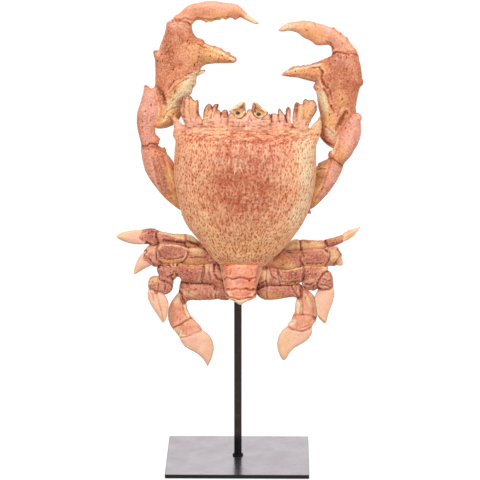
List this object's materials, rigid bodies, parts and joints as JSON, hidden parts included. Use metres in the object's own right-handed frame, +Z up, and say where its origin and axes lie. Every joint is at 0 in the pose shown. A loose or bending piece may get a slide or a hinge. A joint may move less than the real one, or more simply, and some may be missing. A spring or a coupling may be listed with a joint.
{
  "type": "crab figurine",
  "caption": "Life-size cast crab with raised claws, standing on its tail on a black rod and square base plate, where it turns about the rod.",
  "frame": {"origin": "on the rod's axis, at the underside of the floor pads", "axes": "+Z up along the rod, +X to the right as one looks at the crab's back, +Y away from the viewer, so the crab's back faces -Y"},
  "size_m": [0.2565, 0.15, 0.4882],
  "materials": {
    "bare_steel": "zinc-plated steel, hidden in use",
    "claw_resin": "cast resin, hand painted salmon orange with ochre fingers and dark spines",
    "eye_resin": "cast resin, painted dark olive brown and varnished",
    "leg_resin": "cast resin, hand painted mauve pink with ochre edges",
    "leg_tip_resin": "cast resin, hand painted pale peach",
    "pad_rubber": "matte black rubber",
    "pale_resin": "cast resin, hand painted cream and ochre",
    "plate_black": "smooth semi-gloss black powder coat with faint orange peel that mirrors a pale room",
    "rod_black": "satin black powder coat",
    "shell_resin": "cast resin, hand painted salmon pink with dark pits and pale rims",
    "tail_resin": "cast resin, hand painted salmon red with pale edges",
    "underside_resin": "cast resin, hand painted pale peach with ochre seams"
  },
  "bodies": {
    "stand": {"base_plate": "plate_black", "floor_pads": "pad_rubber", "support_rod": "rod_black", "rod_foot_ring": "rod_black", "base_screw": "bare_steel"},
    "crab": {"antenna_plates": "pale_resin", "carapace": "shell_resin", "left_claw_arm": "claw_resin", "left_claw_finger": "claw_resin", "left_claw_palm": "claw_resin", "left_claw_wrist": "claw_resin", "left_eye": "eye_resin", "left_leg_1_carpus": "leg_resin", "left_leg_1_dactyl": "leg_tip_resin", "left_leg_1_merus": "leg_resin", "left_leg_1_propodus": "leg_resin", "left_leg_2_carpus": "leg_resin", "left_leg_2_dactyl": "leg_tip_resin", "left_leg_2_merus": "leg_resin", "left_leg_2_propodus": "leg_resin", "left_leg_3_carpus": "leg_resin", "left_leg_3_dactyl": "leg_tip_resin", "left_leg_3_merus": "leg_resin", "left_leg_3_propodus": "leg_resin", "left_leg_4_carpus": "leg_resin", "left_leg_4_dactyl": "leg_tip_resin", "left_leg_4_merus": "leg_resin", "left_leg_4_propodus": "leg_resin", "left_limb_roots": "leg_resin", "mouth_plates": "underside_resin", "right_claw_arm": "claw_resin", "right_claw_finger": "claw_resin", "right_claw_palm": "claw_resin", "right_claw_wrist": "claw_resin", "right_eye": "eye_resin", "right_leg_1_carpus": "leg_resin", "right_leg_1_dactyl": "leg_tip_resin", "right_leg_1_merus": "leg_resin", "right_leg_1_propodus": "leg_resin", "right_leg_2_carpus": "leg_resin", "right_leg_2_dactyl": "leg_tip_resin", "right_leg_2_merus": "leg_resin", "right_leg_2_propodus": "leg_resin", "right_leg_3_carpus": "leg_resin", "right_leg_3_dactyl": "leg_tip_resin", "right_leg_3_merus": "leg_resin", "right_leg_3_propodus": "leg_resin", "right_leg_4_carpus": "leg_resin", "right_leg_4_dactyl": "leg_tip_resin", "right_leg_4_merus": "leg_resin", "right_leg_4_propodus": "leg_resin", "right_limb_roots": "leg_resin", "rod_sleeve": "bare_steel", "sternum": "underside_resin", "tail_plate_1": "tail_resin", "tail_plate_2": "tail_resin", "tail_plate_3": "tail_resin", "tail_plate_4": "tail_resin"}
  },
  "joints": [
    {"name": "turn_on_rod", "type": "hinge", "parent": "stand", "child": "crab", "pos_m": [0, 0, 0.2], "axis": [0, 0, 1], "continuous": true}
  ]
}
